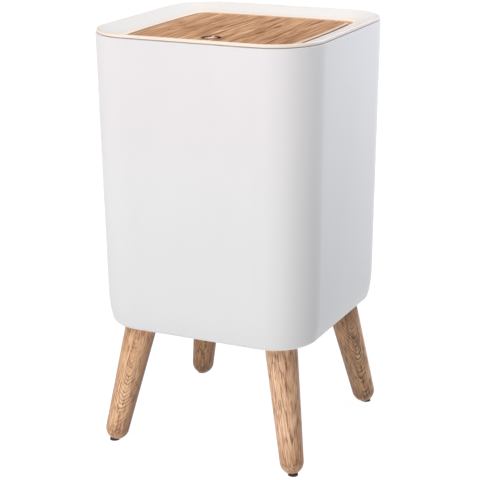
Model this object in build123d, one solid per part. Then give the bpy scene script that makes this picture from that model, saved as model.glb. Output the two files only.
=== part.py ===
from build123d import *
import math
import os

os.makedirs("parts", exist_ok=True)

# ---------------------------------------------------------------------------
# Push-top bin on four splayed legs.  Millimetres, +Z up, front is -Y,
# origin on the floor under the centre of the bin.
# ---------------------------------------------------------------------------

# Shell
HALF_TOP = 120.0          # half width of the shell at its mouth
CORNER = 67.5             # vertical corner axes of shell and cover stand at +-CORNER
Z_FLOOR = 130.3           # underside of the shell
Z_MOUTH = 428.4           # top edge of the shell
DRAFT = 4.7 / 298.1       # inward lean of the wall, mm per mm of height
WALL = 2.4
FLOOR_T = 2.6
BELLY_R = 110.0           # large radius where the wall turns in near the base
HEEL_R = 5.0              # small radius at the very bottom edge
HEEL_IN = 8.0             # how far the flat bottom stops short of the wall

# Cover
RIM_HALF = 119.0
RIM_R = RIM_HALF - CORNER
Z_RIM = 432.4             # highest point
Z_RIM_LOW = 429.4         # lower edge of the outer rim face, above the shadow groove
SEAT_U = 50.7             # outer edge of the seat standing on the shell
SKIRT_HALF = 116.6
SKIRT_T = 1.9
Z_SKIRT = 404.0
CREST_HALF = 117.0
OPEN_HALF = 92.0          # clear opening, at the middle of each side
OPEN_R = 16.0
OPEN_BOW = 1300.0         # the four sides of the opening and the lid bow outward on this radius
LIP_W = 2.6               # level lip between the opening and the funnel
OPEN_TOP_HALF = OPEN_HALF + LIP_W
OPEN_TOP_R = OPEN_R + LIP_W
Z_LIP = 425.2
SHEET_T = 2.0
Z_OPEN_WALL = 417.3       # lower edge of the collar round the opening

# Lid
LID_GAP = 4.4             # open all round between lid and lip
LID_HALF = OPEN_HALF - LID_GAP
LID_R = OPEN_R - LID_GAP + 1.5
LID_BOW = OPEN_BOW - LID_GAP
Z_LID = 424.9             # top of the raised border
WOOD_HALF = 83.9
WOOD_R = 12.0
WOOD_BOW = LID_BOW - (LID_HALF - WOOD_HALF)
Z_WOOD = 424.4
WOOD_T = 1.8
PLATE_T = 2.0
Z_LID_LOW = 415.4
LID_SKIRT_T = 2.2
LINER_T = 1.6
Z_LINER = 415.6
MARK_X, MARK_Y = -4.4, -58.5
MARK_R = 10.2

# Hinge
HY, HZ = 100.0, 419.4     # hinge axis runs along X through (y, z)
PIN_R = 2.0
PIN_RUN = 0.05            # running clearance on the radius
HUB_R = 4.2
ARM_X0, ARM_X1 = 44.8, 50.8
LUG_IN = (40.0, 44.2)
LUG_OUT = (61.4, 65.6)
DAMP_ARM = (-14.0, -9.0)
OPEN_ANGLE = 78.0

# Latch
LY = -79.0                # y of the latch axis
SHELF_TOP, SHELF_T = 410.2, 2.8
STRIKE_Z = 415.2
HEAD_GAP = 0.25

# Legs
FOOT_AT = 102.2           # where a leg axis meets the floor, +- in x and y
TOP_AT = 77.9             # where it meets the underside of the shell
LEG_TIP_Z = 1.95          # height of the centre of the leg's sawn end
LEG_R_TIP = 11.7
LEG_R_TOP = 16.5
TIP_R = 5.2
TIP_L = 12.0
STUD_R = 4.0
INSERT_R = 5.5


def put(node, obj):
    """Write one node; a group of separate solids goes out as one compound."""
    solids = obj.solids() if hasattr(obj, "solids") else list(obj)
    shape = solids[0] if len(solids) == 1 else Compound(children=list(solids))
    shape.label = node
    export_step(shape, f"parts/{node}.step")


def square(half, r, z, cy=0.0):
    return Pos(0, cy, z) * RectangleRounded(2 * half, 2 * half, r)


def slab(half, r, z0, z1, cy=0.0):
    return extrude(square(half, r, z0, cy), amount=z1 - z0)


def corner_axis(half, r, side_r=None):
    """Where the corner arcs are centred, +- in x and y."""
    if side_r is None:
        return half - r
    a = side_r - half
    return (-a + math.sqrt(2 * (side_r - r) ** 2 - a * a)) / 2


def bowed(half, r, z, side_r=None):
    """Rounded square; with side_r its four sides bow outward as arcs of that radius."""
    k = corner_axis(half, r, side_r)
    if side_r is None:
        t = (k, -half)
    else:
        a = side_r - half
        dx, dy = k, -k - a
        n = math.hypot(dx, dy)
        t = (dx / n * side_r, a + dy / n * side_r)

    def turn(q, i):
        for _ in range(i):
            q = (-q[1], q[0])
        return (q[0], q[1], z)

    d = r / math.sqrt(2)
    edges = []
    for i in range(4):
        a0, a1 = turn((-t[0], t[1]), i), turn(t, i)
        edges.append(Line(a0, a1) if side_r is None else ThreePointArc(a0, turn((0, -half), i), a1))
        edges.append(ThreePointArc(a1, turn((k + d, -k - d), i), turn((-t[1], -t[0]), i)))
    return make_face(edges)


def bowed_slab(half, r, side_r, z0, z1):
    return extrude(bowed(half, r, z0, side_r), amount=z1 - z0, dir=(0, 0, 1))


def bowed_loop(solid, half, r, side_r, z):
    """The eight edges of one bowed outline at height z."""
    reach = corner_axis(half, r, side_r) * math.sqrt(2) + r

    def on(e):
        c = e.position_at(0.5)
        far = max(abs(c.X), abs(c.Y))
        near = min(abs(c.X), abs(c.Y))
        if abs(c.Z - z) > 1e-3:
            return False
        return abs(math.hypot(c.X, c.Y) - reach) < 0.2 if near > half / 2 else abs(far - half) < 0.2

    return solid.edges().filter_by(on)


def box(x0, x1, y0, y1, z0, z1):
    return Pos((x0 + x1) / 2, (y0 + y1) / 2, (z0 + z1) / 2) * Box(
        abs(x1 - x0), abs(y1 - y0), abs(z1 - z0)
    )


def rod_x(x0, x1, y, z, r):
    lo, hi = min(x0, x1), max(x0, x1)
    return Plane(origin=(lo, y, z), x_dir=(0, 1, 0), z_dir=(1, 0, 0)) * Cylinder(
        r, hi - lo, align=(Align.CENTER, Align.CENTER, Align.MIN)
    )


def rod_z(x, y, z0, z1, r):
    return Pos(x, y, z0) * Cylinder(r, z1 - z0, align=(Align.CENTER, Align.CENTER, Align.MIN))


def plate_x(points, x0, x1):
    """Flat plate with a (y, z) outline, thick along X."""
    lo, hi = min(x0, x1), max(x0, x1)
    wire = Polyline([(lo, y, z) for y, z in points], close=True)
    return extrude(make_face(wire), amount=hi - lo, dir=(1, 0, 0))


def mid_arc(cx, cz, r, a0, a1):
    a = (a0 + a1) / 2
    return (cx + r * math.cos(a), cz + r * math.sin(a))


# ---------------------------------------------------------------------------
# Shell: one wall section carried round a square with rounded corners
# ---------------------------------------------------------------------------
def wall_section():
    lean = math.atan(DRAFT)
    nx, nz = math.cos(lean), -math.sin(lean)           # outward normal of the wall
    u_top = HALF_TOP - CORNER

    def wall(z):
        return u_top - (Z_MOUTH - z) * DRAFT

    u_flat = wall(Z_FLOOR) - HEEL_IN
    c2 = (u_flat, Z_FLOOR + HEEL_R)
    lo, hi = Z_FLOOR + 5.0, Z_FLOOR + 90.0
    for _ in range(80):
        z = (lo + hi) / 2
        c1 = (wall(z) - BELLY_R * nx, z - BELLY_R * nz)
        d = math.hypot(c1[0] - c2[0], c1[1] - c2[1])
        # the two arcs touch where the centres are BELLY_R - HEEL_R apart
        if d < BELLY_R - HEEL_R:
            lo = z
        else:
            hi = z
    zt = (lo + hi) / 2
    c1 = (wall(zt) - BELLY_R * nx, zt - BELLY_R * nz)
    ang = math.atan2(c2[1] - c1[1], c2[0] - c1[0])

    def pts(off):
        """Points and arcs of the skin moved inward by off."""
        rb, rh = BELLY_R - off, HEEL_R - off
        a_wall = math.atan2(nz, nx)
        p_wall = (c1[0] + rb * nx, c1[1] + rb * nz)
        p_join = (c2[0] + rh * math.cos(ang), c2[1] + rh * math.sin(ang))
        p_flat = (c2[0], c2[1] - rh)
        m_belly = mid_arc(c1[0], c1[1], rb, ang, a_wall)
        m_heel = mid_arc(c2[0], c2[1], rh, -math.pi / 2, ang)
        return p_wall, m_belly, p_join, m_heel, p_flat

    ow, om, oj, oh, of_ = pts(0.0)
    iw, im, ij, ih, if_ = pts(WALL)
    lip = 0.6
    o_top = (u_top - lip * DRAFT, Z_MOUTH - lip)
    o_in = (u_top - lip, Z_MOUTH)
    om_top = (u_top - lip * (1 - math.cos(math.pi / 4)), Z_MOUTH - lip * (1 - math.sin(math.pi / 4)))
    i_top = (u_top - WALL / nx, Z_MOUTH)

    def p(q):
        return (CORNER + q[0], 0, q[1])

    floor_top = Z_FLOOR + FLOOR_T
    # inner heel is cut level with the floor's upper face
    edges = [
        Line(p((0, Z_FLOOR)), p(of_)),
        ThreePointArc(p(of_), p(oh), p(oj)),
        ThreePointArc(p(oj), p(om), p(ow)),
        Line(p(ow), p(o_top)),
        ThreePointArc(p(o_top), p(om_top), p(o_in)),
        Line(p(o_in), p(i_top)),
        Line(p(i_top), p(iw)),
        ThreePointArc(p(iw), p(im), p(ij)),
        ThreePointArc(p(ij), p(ih), p(if_)),
        Line(p(if_), p((if_[0], floor_top))) if abs(if_[1] - floor_top) > 1e-6 else None,
        Line(p((if_[0], floor_top)), p((0, floor_top))),
        Line(p((0, floor_top)), p((0, Z_FLOOR))),
    ]
    return make_face([e for e in edges if e is not None])


def leg_axis(sx, sy):
    k = (FOOT_AT - TOP_AT) / Z_FLOOR
    at = FOOT_AT - k * LEG_TIP_Z
    origin = Vector(sx * at, sy * at, LEG_TIP_Z)
    up = Vector(-k * sx, -k * sy, 1).normalized()
    length = (Z_FLOOR - LEG_TIP_Z) * math.sqrt(1 + 2 * k * k)
    return origin, up, length


CORNERS = {
    "front_left": (-1, -1),
    "front_right": (1, -1),
    "rear_left": (-1, 1),
    "rear_right": (1, 1),
}


def along_leg(sx, sy, a, b, r):
    o, up, _ = leg_axis(sx, sy)
    return Plane(origin=o + up * a, z_dir=up) * Cylinder(
        r, b - a, align=(Align.CENTER, Align.CENTER, Align.MIN)
    )


def build_shell():
    sec = wall_section()
    side = extrude(Pos(0, -CORNER, 0) * sec, amount=2 * CORNER, dir=(0, 1, 0))
    turn = revolve(Pos(0, CORNER, 0) * sec, axis=Axis((CORNER, CORNER, 0), (0, 0, 1)), revolution_arc=90)
    one = side + turn
    shell = one
    for k in (1, 2, 3):
        shell = shell + Rot(0, 0, 90 * k) * one
    shell = shell + box(-CORNER, CORNER, -CORNER, CORNER, Z_FLOOR, Z_FLOOR + FLOOR_T)
    keep = box(-130, 130, -130, 130, Z_FLOOR + 0.8, 300)
    for sx, sy in CORNERS.values():
        _, _, L = leg_axis(sx, sy)
        shell = shell + (along_leg(sx, sy, L - 4, L + 20.5, 9.2) & keep)
    for sx, sy in CORNERS.values():
        _, _, L = leg_axis(sx, sy)
        shell = shell - along_leg(sx, sy, L - 4, L + 17.2, INSERT_R + 0.04)
    # two shallow strengthening ribs cross the floor between the leg sockets
    for x in (-36.0, 36.0):
        shell = shell + box(x - 0.9, x + 0.9, -104, 104, Z_FLOOR + 1.5, Z_FLOOR + FLOOR_T + 2.4)
    return shell


put("body_shell", build_shell())


# ---------------------------------------------------------------------------
# Legs, studs, inserts and pads
# ---------------------------------------------------------------------------
def build_leg(sx, sy):
    o, up, L = leg_axis(sx, sy)
    slope = (LEG_R_TOP - LEG_R_TIP) / L

    def r(s):
        return LEG_R_TIP + slope * s

    # the nose is one arc running into the tapered side
    r1 = r(TIP_L)
    w = r1 - TIP_R
    rad = (w * w + TIP_L * TIP_L) / (2 * w)
    cx = r1 - rad
    a_end = math.atan2(0 - TIP_L, TIP_R - cx)
    m = (cx + rad * math.cos(a_end / 2), TIP_L + rad * math.sin(a_end / 2))
    pl = Plane(origin=o, x_dir=(sy * 1.0, -sx * 1.0, 0), z_dir=up)
    top = L + 6
    sec = make_face([
        Line((0, 0, 0), (TIP_R, 0, 0)),
        ThreePointArc((TIP_R, 0, 0), (m[0], 0, m[1]), (r1, 0, TIP_L)),
        Line((r1, 0, TIP_L), (r(top), 0, top)),
        Line((r(top), 0, top), (0, 0, top)),
        Line((0, 0, top), (0, 0, 0)),
    ])
    leg = pl * revolve(sec, axis=Axis.Z, revolution_arc=360)
    leg = leg & box(-140, 140, -140, 140, -5, Z_FLOOR)
    leg = leg - along_leg(sx, sy, L - 30, L + 8, STUD_R + 0.04)
    leg = leg - along_leg(sx, sy, -1, 9.0, 2.3)
    return leg


studs, inserts = [], []
for name, (sx, sy) in CORNERS.items():
    o, up, L = leg_axis(sx, sy)
    put(f"leg_{name}", build_leg(sx, sy))
    stud = along_leg(sx, sy, L - 29, L + 13, STUD_R)
    studs.append(stud)
    ins = along_leg(sx, sy, L + 1.7, L + 16.5, INSERT_R)
    # two knurl grooves round the insert, and its threaded bore
    for g in (6.0, 11.0):
        ins = ins - (along_leg(sx, sy, L + g, L + g + 1.4, INSERT_R + 1) - along_leg(sx, sy, L + g, L + g + 1.4, INSERT_R - 0.5))
    ins = ins - along_leg(sx, sy, L, L + 18, STUD_R + 0.04)
    inserts.append(ins)
    pad = along_leg(sx, sy, -6, 0, TIP_R - 0.1) + along_leg(sx, sy, -1, 8.5, 2.26)
    pad = pad & box(-140, 140, -140, 140, 0, 20)
    put(f"foot_pad_{name}", pad)

put("leg_studs", Compound(children=[s.solids()[0] for s in studs]))
put("leg_inserts", Compound(children=[s.solids()[0] for s in inserts]))


# ---------------------------------------------------------------------------
# Cover frame
# ---------------------------------------------------------------------------
def funnel(z_hi, half_hi, r_hi, z_lo, half_lo, r_lo, side_r):
    return loft([bowed(half_lo, r_lo, z_lo, side_r), bowed(half_hi, r_hi, z_hi)], ruled=True)


def under_sheet(y):
    """Height of the funnel sheet's underside straight behind the opening."""
    return (Z_LIP - SHEET_T) + (abs(y) - OPEN_TOP_HALF) * (Z_RIM - Z_LIP) / (CREST_HALF - OPEN_TOP_HALF)


def build_cover():
    rim = slab(RIM_HALF, RIM_R, Z_RIM_LOW, Z_RIM)
    top_loop = rim.edges().filter_by(lambda e: abs(e.center().Z - Z_RIM) < 1e-4)
    rim = fillet(top_loop, 1.5)
    low_loop = rim.edges().filter_by(lambda e: abs(e.center().Z - Z_RIM_LOW) < 1e-4)
    rim = fillet(low_loop, 0.35)
    seat = slab(CORNER + SEAT_U, SEAT_U, Z_MOUTH, Z_RIM_LOW + 0.6)
    skirt = slab(SKIRT_HALF, SKIRT_HALF - CORNER, Z_SKIRT, Z_RIM_LOW + 0.6)
    body = rim + seat + skirt
    # funnel from the crest down to the level lip
    body = body - funnel(Z_RIM, CREST_HALF, CREST_HALF - CORNER, Z_LIP, OPEN_TOP_HALF, OPEN_TOP_R, OPEN_BOW + LIP_W)
    body = body - slab(CREST_HALF, CREST_HALF - CORNER, Z_RIM, Z_RIM + 5)
    # hollow under the sheet, leaving the collar round the opening
    inner = SKIRT_HALF - SKIRT_T
    collar_out = OPEN_HALF + 2.0
    collar_bow = OPEN_BOW + 2.0
    z_hi = (Z_LIP - SHEET_T) + (inner - OPEN_TOP_HALF) * (Z_RIM - Z_LIP) / (CREST_HALF - OPEN_TOP_HALF)
    z_lo = (Z_LIP - SHEET_T) + (collar_out - OPEN_TOP_HALF) * (Z_RIM - Z_LIP) / (CREST_HALF - OPEN_TOP_HALF)
    hollow = slab(inner, inner - CORNER, Z_SKIRT - 1, z_lo)
    hollow = hollow + (
        slab(inner, inner - CORNER, z_lo, z_hi)
        - funnel(z_hi, inner, inner - CORNER, z_lo, collar_out, OPEN_R + 2.0, collar_bow)
    )
    hollow = hollow - bowed_slab(collar_out, OPEN_R + 2.0, collar_bow, Z_OPEN_WALL, Z_RIM)
    body = body - hollow
    body = body - bowed_slab(OPEN_HALF, OPEN_R, OPEN_BOW, Z_SKIRT - 2, Z_RIM + 2)
    body = fillet(bowed_loop(body, OPEN_HALF, OPEN_R, OPEN_BOW, Z_LIP), 1.6)
    return body


cover = build_cover()

# hinge lugs and damper saddle hang from the sheet behind the opening
def lug(x0, x1):
    g = plate_x(
        [(HY - 4.6, under_sheet(HY - 4.6) + 0.8), (HY - 4.6, HZ - 2.5), (HY - 2.2, HZ - 4.8), (HY + 2.2, HZ - 4.8),
         (HY + 7.0, HZ - 1.5), (HY + 9.5, under_sheet(HY + 9.5) + 0.8)],
        x0, x1)
    return g


for s in (-1, 1):
    for a, b in (LUG_IN, LUG_OUT):
        cover = cover + lug(s * a, s * b)
        cover = cover - rod_x(s * a - s * 1.0, s * b + s * 1.0, HY, HZ, PIN_R + PIN_RUN)
    # relief in the collar where the swan-neck arms swing through
    cover = cover - box(s * (ARM_X0 - 0.7), s * (ARM_X1 + 0.7), OPEN_HALF - 3, OPEN_HALF + 2.6, Z_OPEN_WALL - 1, HZ + 3.9)
cover = cover - box(DAMP_ARM[0] - 0.7, DAMP_ARM[1] + 0.7, OPEN_HALF - 3, OPEN_HALF + 2.6, Z_OPEN_WALL - 1, HZ + 3.9)

# bosses for the damper's screws
DS = ((-21.0, 110.0), (-33.0, 110.0))
TAB_TOP = HZ + 1.5
for x, y in DS:
    b = rod_z(x, y, TAB_TOP, under_sheet(y) + 0.9, 3.0)
    cover = cover + b
    cover = cover - rod_z(x, y, TAB_TOP - 0.5, TAB_TOP + 5.7, 1.24)

# latch shelf below the front edge of the lid, hung from the collar
shelf = box(-22.5, 22.5, -OPEN_HALF - 2.0, LY + 12.0, SHELF_TOP - SHELF_T, SHELF_TOP)
hang = box(-22.5, 22.5, -OPEN_HALF - 2.0, -OPEN_HALF, SHELF_TOP - 1.0, Z_OPEN_WALL + 2)
cover = cover + shelf + hang
for s in (-1, 1):
    web = plate_x([(-OPEN_HALF - 1.0, SHELF_TOP - SHELF_T + 0.5), (-112.0, SHELF_TOP - SHELF_T + 6.0),
                   (-112.0, under_sheet(-112.0) + 0.8), (-OPEN_HALF - 1.0, under_sheet(-OPEN_HALF - 1.0) + 0.8)],
                  s * 20.0, s * 21.8)
    cover = cover + web
cover = cover - box(-5.4, 5.4, LY - 5.4, LY + 5.4, SHELF_TOP - SHELF_T - 1, SHELF_TOP + 1)
for s in (-1, 1):
    cover = cover - rod_z(s * 16.0, LY, SHELF_TOP - SHELF_T - 1, SHELF_TOP - 0.6, 1.24)

# stiffening ribs under the sheet
for s in (-1, 1):
    for y in (-60.0, -20.0, 20.0, 60.0):
        rib = Plane.XZ.offset(-y + 0.6) * make_face(Polyline([
            (s * (OPEN_HALF + 0.5), 418.4), (s * (SKIRT_HALF - 1.0), 412.9),
            (s * (SKIRT_HALF - 1.0), under_sheet(SKIRT_HALF - 1.0) + 0.8), (s * (OPEN_HALF + 0.5), under_sheet(OPEN_HALF + 0.5) + 0.8)], close=True))
        cover = cover + extrude(rib, amount=1.2)
for x in (-60.0, 60.0):
    cover = cover + plate_x([(-OPEN_HALF - 0.5, 418.4), (-SKIRT_HALF + 1.0, 412.9),
                             (-SKIRT_HALF + 1.0, under_sheet(SKIRT_HALF - 1.0) + 0.8), (-OPEN_HALF - 0.5, under_sheet(OPEN_HALF + 0.5) + 0.8)],
                            x - 0.6, x + 0.6)

put("cover_frame", cover)


# ---------------------------------------------------------------------------
# Hinge pins and springs
# ---------------------------------------------------------------------------
def pin(s):
    p = rod_x(s * (LUG_IN[0] - 0.5), s * (LUG_OUT[1] + 0.8), HY, HZ, PIN_R)
    head = rod_x(s * (LUG_IN[0] - 1.7), s * (LUG_IN[0] - 0.4), HY, HZ, 3.1)
    return p + head


put("hinge_pin_left", pin(-1))
put("hinge_pin_right", pin(1))


def torsion_spring():
    """Right-hand side spring: front leg under the lid, coils round the pin, rear leg under the sheet."""
    rm, rw = 4.0, 0.55
    pitch = 1.35
    a0 = math.radians(270 + 5)
    turns = 4 + (360 - 275) / 360.0
    x_start = 52.6
    # helix along +X; angle grows from the foot of the coil towards the back and up
    hx = Edge.make_helix(pitch=pitch, height=pitch * turns, radius=rm)
    # local helix: starts at (rm,0,0), climbs +z, turns from +x to +y
    pl = Plane(origin=(x_start, HY, HZ), x_dir=(0, math.cos(a0), math.sin(a0)), z_dir=(1, 0, 0))
    hx = pl * hx if not isinstance(hx, Edge) else hx.moved(pl.location)
    p0, t0 = hx @ 0, hx % 0
    p1, t1 = hx @ 1, hx % 1
    leg_a = Line(p0 - t0 * 13.0, p0)
    leg_b = Line(p1, p1 + t1 * 5.2)
    path = Wire([leg_a.edge() if hasattr(leg_a, "edge") else leg_a, hx, leg_b.edge() if hasattr(leg_b, "edge") else leg_b])
    sec = Plane(origin=path @ 0, z_dir=path % 0) * Circle(rw)
    return sweep(sec, path=path)


spr = torsion_spring()
put("hinge_spring_right", spr)
put("hinge_spring_left", mirror(spr, about=Plane.YZ))


# ---------------------------------------------------------------------------
# Rotary damper, in line with the hinge
# ---------------------------------------------------------------------------
DX0, DX1 = -37.0, -15.0
housing = rod_x(DX0, DX1 - 1.8, HY, HZ, 4.9)
tab = box(DX0 + 1.0, DX1 - 3.0, HY + 2.0, 113.4, TAB_TOP - 2.4, TAB_TOP)
housing = housing + tab
housing = housing - rod_x(DX0 + 1.6, DX1, HY, HZ, 3.9)
for x, y in DS:
    housing = housing - rod_z(x, y, TAB_TOP - 3, TAB_TOP + 1, 1.6)
put("damper_housing", housing)

cap = rod_x(DX1 - 1.8, DX1, HY, HZ, 4.9) + rod_x(DX1 - 3.6, DX1 - 1.7, HY, HZ, 3.86)
cap = cap - rod_x(DX1 - 5, DX1 + 1, HY, HZ, 2.45)
put("damper_cap", cap)

rotor = rod_x(DX0 + 2.0, DX1 - 4.0, HY, HZ, 2.0)
rotor = rotor + box(DX0 + 2.0, DX1 - 4.0, HY - 3.55, HY + 3.55, HZ - 0.8, HZ + 0.8)
rotor = rotor + rod_x(DX1 - 4.1, DX1 + 0.4, HY, HZ, 2.4)
key = rod_x(DX1 + 0.3, DAMP_ARM[1] - 0.2, HY, HZ, 2.4) & box(-40, 0, HY - 1.7, HY + 1.7, HZ - 5, HZ + 5)
rotor = rotor + key
put("damper_rotor", rotor)

dscrews = []
for x, y in DS:
    s = rod_z(x, y, TAB_TOP - 2.4 - 1.6, TAB_TOP - 2.4, 2.6) + rod_z(x, y, TAB_TOP - 2.5, TAB_TOP + 5.3, 1.2)
    s = s - box(x - 1.6, x + 1.6, y - 0.35, y + 0.35, TAB_TOP - 4.1, TAB_TOP - 3.2) - box(x - 0.35, x + 0.35, y - 1.6, y + 1.6, TAB_TOP - 4.1, TAB_TOP - 3.2)
    dscrews.append(s)
put("damper_screws", Compound(children=[s.solids()[0] for s in dscrews]))


# ---------------------------------------------------------------------------
# Lid
# ---------------------------------------------------------------------------
def swan_neck(x0, x1):
    """Arm that dips under the collar and comes up to the hinge axis."""
    rel = [(3.4, -0.5), (3.4, -11.0), (-0.6, -15.4), (-15.8, -15.4), (-21.0, -10.4), (-21.0, 1.9),
           (-12.6, 1.9), (-12.6, -6.4), (-9.2, -9.4), (-3.4, -11.2), (-3.4, -0.5)]
    arm = plate_x([(HY + y, HZ + z) for y, z in rel], x0, x1)
    arm = arm + rod_x(x0, x1, HY, HZ, HUB_R)
    return arm


BOSSES = ((-70.0, -60.0), (70.0, -60.0), (-70.0, 60.0), (70.0, 60.0))
STRIKES = ((-8.0, LY), (8.0, LY))

plate_lo = Z_WOOD - WOOD_T - PLATE_T
tray = bowed_slab(LID_HALF, LID_R, LID_BOW, Z_LID_LOW, Z_LID)
tray = fillet(bowed_loop(tray, LID_HALF, LID_R, LID_BOW, Z_LID), 1.8)
tray = tray - bowed_slab(WOOD_HALF + 0.08, WOOD_R + 0.08, WOOD_BOW + 0.08, Z_WOOD - WOOD_T, Z_LID + 1)
tray = tray - bowed_slab(LID_HALF - LID_SKIRT_T, LID_R - LID_SKIRT_T, LID_BOW - LID_SKIRT_T, Z_LID_LOW - 1, plate_lo)
tray = fillet(bowed_loop(tray, WOOD_HALF + 0.08, WOOD_R + 0.08, WOOD_BOW + 0.08, Z_LID), 0.4)
for x, y in BOSSES:
    tray = tray + rod_z(x, y, Z_LINER + LINER_T, plate_lo + 0.5, 3.4)
for x, y in STRIKES:
    tray = tray + rod_z(x, y, Z_LINER + LINER_T, plate_lo + 0.5, 2.6)
for x0, x1 in ((ARM_X0, ARM_X1), (-ARM_X1, -ARM_X0), DAMP_ARM):
    tray = tray + swan_neck(x0, x1)
# cross ribs under the plate
for x in (-30.0, 30.0):
    tray = tray + box(x - 0.7, x + 0.7, -LID_HALF + 1.5, LID_HALF - 1.5, Z_LINER + LINER_T + 0.4, plate_lo + 0.5)
for y in (-30.0, 30.0):
    tray = tray + box(-LID_HALF + 1.5, LID_HALF - 1.5, y - 0.7, y + 0.7, Z_LINER + LINER_T + 0.4, plate_lo + 0.5)
for s in (-1, 1):
    tray = tray - rod_x(s * (ARM_X0 - 1), s * (ARM_X1 + 1), HY, HZ, PIN_R + PIN_RUN)
tray = tray - (rod_x(DAMP_ARM[0] - 1, DAMP_ARM[1] + 1, HY, HZ, 2.44) & box(-40, 0, HY - 1.74, HY + 1.74, HZ - 5, HZ + 5))
for x, y in BOSSES:
    tray = tray - rod_z(x, y, Z_LID_LOW - 1, plate_lo + 0.8, 1.24)
for x, y in STRIKES:
    tray = tray - rod_z(x, y, Z_LID_LOW - 1, plate_lo + 0.8, 1.04)
put("lid_tray", tray)

wood = bowed_slab(WOOD_HALF, WOOD_R, WOOD_BOW, Z_WOOD - WOOD_T, Z_WOOD)
wood = wood - rod_z(MARK_X, MARK_Y, Z_WOOD - 0.5, Z_WOOD + 1, MARK_R + 0.05)
put("lid_wood_panel", wood)

mark = rod_z(MARK_X, MARK_Y, Z_WOOD - 0.5, Z_WOOD + 0.12, MARK_R)
mark = mark - (rod_z(MARK_X, MARK_Y, Z_WOOD - 0.06, Z_WOOD + 1, 7.4) - rod_z(MARK_X, MARK_Y, Z_WOOD - 0.2, Z_WOOD + 2, 3.4))
put("push_mark", mark)

lin_in = LID_SKIRT_T + 0.15
liner = bowed_slab(LID_HALF - lin_in, LID_R - lin_in, LID_BOW - lin_in, Z_LINER, Z_LINER + LINER_T)
for x0, x1 in ((ARM_X0, ARM_X1), (-ARM_X1, -ARM_X0), DAMP_ARM):
    liner = liner - box(x0 - 0.4, x1 + 0.4, HY - 21.4, HY, Z_LINER - 1, Z_LINER + 4)
for x, y in BOSSES:
    liner = liner - rod_z(x, y, Z_LINER - 1, Z_LINER + 4, 1.6)
for x, y in STRIKES:
    liner = liner - rod_z(x, y, Z_LINER - 1, Z_LINER + 4, 1.3)
liner = liner - box(-12.1, 12.1, LY - 8.0, LY + 6.7, Z_LINER - 1, STRIKE_Z + 1.0)
put("lid_liner", liner)

lscrews = []
for x, y in BOSSES:
    s = rod_z(x, y, Z_LINER - 1.4, Z_LINER, 2.6) + rod_z(x, y, Z_LINER - 0.1, plate_lo + 0.4, 1.2)
    s = s - box(x - 1.6, x + 1.6, y - 0.35, y + 0.35, Z_LINER - 1.5, Z_LINER - 0.7) - box(x - 0.35, x + 0.35, y - 1.6, y + 1.6, Z_LINER - 1.5, Z_LINER - 0.7)
    lscrews.append(s)
put("lid_liner_screws", Compound(children=[s.solids()[0] for s in lscrews]))

strike = box(-12, 12, LY - 6.0, LY + 6.6, STRIKE_Z, STRIKE_Z + 1.0)
strike = fillet(strike.edges().filter_by(Axis.Z), 2.0)
sscrews = []
for x, y in STRIKES:
    sink = Pos(x, y, STRIKE_Z) * Cone(2.1, 1.3, 0.9, align=(Align.CENTER, Align.CENTER, Align.MIN))
    strike = strike - sink - rod_z(x, y, STRIKE_Z - 1, STRIKE_Z + 3, 1.3)
    head = Pos(x, y, STRIKE_Z + 0.02) * Cone(2.0, 1.0, 0.9, align=(Align.CENTER, Align.CENTER, Align.MIN))
    s = head + rod_z(x, y, STRIKE_Z + 0.5, plate_lo + 0.4, 1.0)
    s = s - box(x - 1.2, x + 1.2, y - 0.25, y + 0.25, STRIKE_Z - 0.2, STRIKE_Z + 0.4)
    sscrews.append(s)
put("strike_plate", strike)
put("strike_screws", Compound(children=[s.solids()[0] for s in sscrews]))


# ---------------------------------------------------------------------------
# Touch latch
# ---------------------------------------------------------------------------
HZ1 = SHELF_TOP - SHELF_T          # top of the latch housing
hx, hy = 10.0, 10.0
lh = box(-hx, hx, LY - hy, LY + hy, HZ1 - 24, HZ1)
lh = lh + box(-21, 21, LY - 6.0, LY + 6.0, HZ1 - 2.4, HZ1)
lh = fillet(lh.edges().filter_by(Axis.Z).filter_by(lambda e: abs(abs(e.center().X) - 21) < 0.1 or abs(abs(e.center().Y - LY) - hy) < 0.1), 1.5)
lh = lh - box(-6.3, 6.3, LY - 6.3, LY + 6.3, HZ1 - 25, HZ1 - 4)
lh = lh - box(-5.4, 5.4, LY - 5.4, LY + 5.4, HZ1 - 5, HZ1 + 1)
for s in (-1, 1):
    lh = lh - rod_z(s * 16.0, LY, HZ1 - 3, HZ1 + 1, 1.6)
put("latch_housing", lh)

cap = box(-hx, hx, LY - hy, LY + hy, HZ1 - 26, HZ1 - 24)
cap = fillet(cap.edges().filter_by(Axis.Z), 1.5)
cap = cap + box(-6.2, 6.2, LY - 6.2, LY + 6.2, HZ1 - 24.5, HZ1 - 22)
cap = cap + rod_z(0, LY, HZ1 - 22.5, HZ1 - 17.5, 2.2)
put("latch_cap", cap)

HEAD = STRIKE_Z - HEAD_GAP
pl = box(-5.05, 5.05, LY - 5.05, LY + 5.05, HZ1 - 14, HEAD)
pl = fillet(pl.edges().filter_by(Axis.Z), 0.8)
pl = pl + box(-5.95, 5.95, LY - 5.95, LY + 5.95, HZ1 - 14, HZ1 - 12)
pl = pl - rod_z(0, LY, HZ1 - 15, HZ1 - 1, 4.1)
pl = pl - rod_z(0, LY, HEAD - 2.0, HEAD + 1, 3.55)
put("latch_plunger", pl)
put("latch_magnet", rod_z(0, LY, HEAD - 1.98, HEAD, 3.5))


def latch_spring():
    rm, rw = 3.35, 0.4
    z0, z1 = HZ1 - 22 + rw + 0.02, HZ1 - 1 - rw - 0.02
    hx_ = Edge.make_helix(pitch=(z1 - z0) / 6.0, height=z1 - z0, radius=rm)
    hx_ = hx_.moved(Location((0, LY, z0)))
    w = Wire([hx_])
    sec = Plane(origin=w @ 0, z_dir=w % 0) * Circle(rw)
    return sweep(sec, path=w)


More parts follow.
